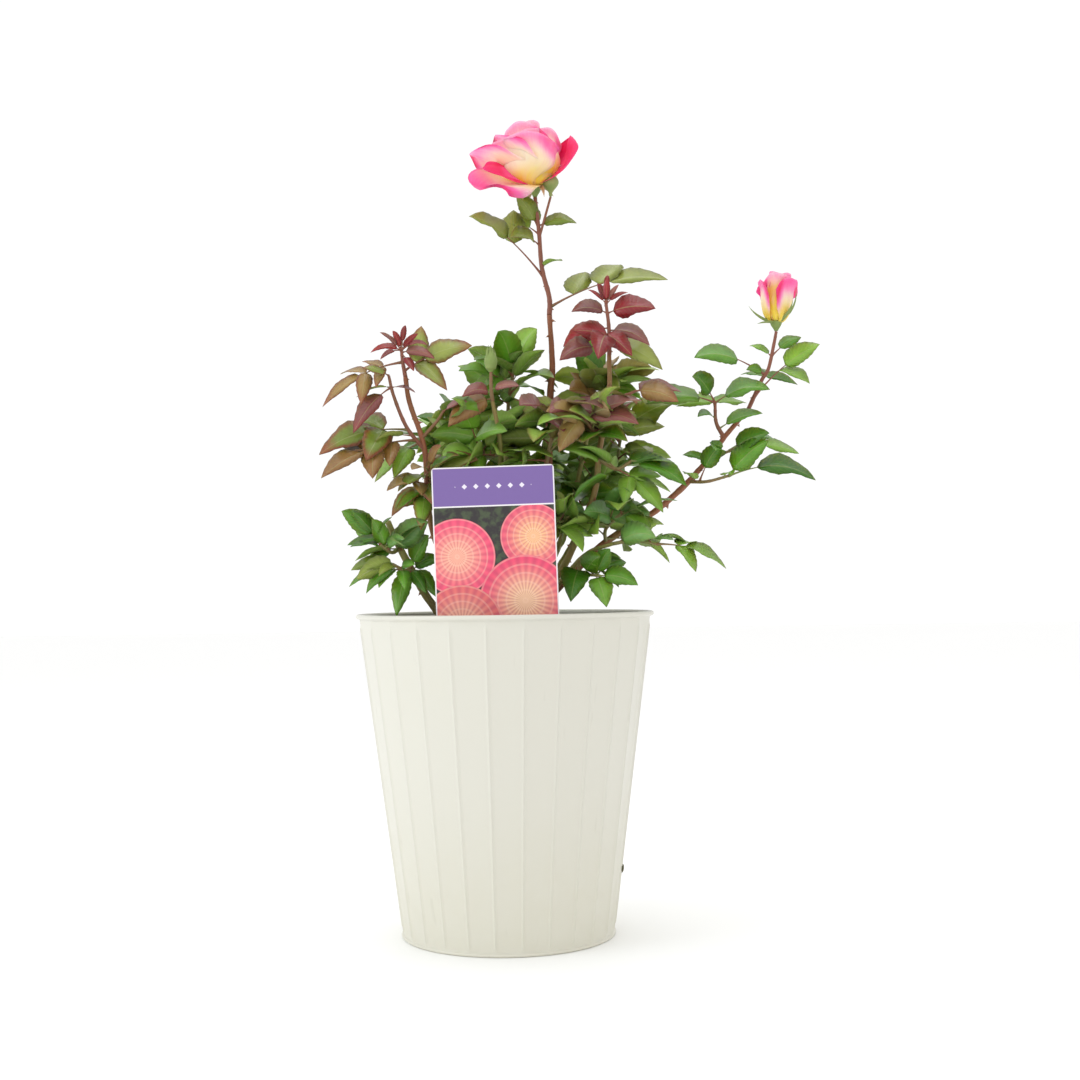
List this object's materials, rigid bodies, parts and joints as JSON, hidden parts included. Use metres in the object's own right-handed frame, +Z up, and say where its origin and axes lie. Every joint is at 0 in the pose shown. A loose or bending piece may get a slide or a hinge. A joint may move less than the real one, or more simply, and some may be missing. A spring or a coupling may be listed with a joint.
{
  "type": "potted rose bush",
  "caption": "A shrub rose with an open pink and cream bloom and a half-open bud, growing in a ribbed cream sheet-metal pot with a picture label stuck in its soil.",
  "frame": {"origin": "centre of the pot's flat underside, on the ground", "axes": "+Z up, -Y to the front, the side that the label faces, +X to the right as seen from the front"},
  "size_m": [0.4122, 0.2815, 0.6831],
  "materials": {
    "pot_metal": "satin",
    "plug": "matte",
    "soil": "rough",
    "label_card": "satin",
    "bark": "rough",
    "foliage": "satin",
    "petals": "soft"
  },
  "bodies": {
    "root": {"pot": "pot_metal", "side_plug": "plug", "soil": "soil", "label": "label_card", "bud_union": "bark", "cane_tall": "bark", "cane_right_tip": "bark", "cane_left_tip": "bark", "cane_long_right": "bark", "cane_mid_left": "bark", "cane_low_right": "bark", "cane_left_low": "bark", "cane_centre": "bark", "cane_high_left": "bark", "cane_high_right": "bark", "cane_back_left": "bark", "cane_back_right": "bark", "cane_back": "bark", "shoot_bloom": "foliage", "shoot_right_tip": "foliage", "shoot_left_tip": "foliage", "spray_left_outer": "foliage", "spray_left_inner": "foliage", "spray_left_mid": "foliage", "spray_low_left": "foliage", "spray_low_left_hang": "foliage", "shoot_mid_left": "foliage", "shoot_long_tip": "foliage", "spray_long_mid": "foliage", "spray_long_upper": "foliage", "spray_long_low": "foliage", "shoot_low_right": "foliage", "spray_rim_right": "foliage", "spray_right_bronze": "foliage", "spray_right_low": "foliage", "shoot_high_left": "foliage", "shoot_high_right": "foliage", "shoot_centre": "foliage", "shoot_back_left": "foliage", "shoot_back_right": "foliage", "shoot_back": "foliage", "spray_inner_right": "foliage", "spray_inner_left": "foliage", "spray_inner_front": "foliage", "spray_centre_low": "foliage", "spray_centre_right": "foliage", "spray_left_fill": "foliage", "bloom_open": "petals", "bloom_bud": "petals"}
  },
  "joints": []
}
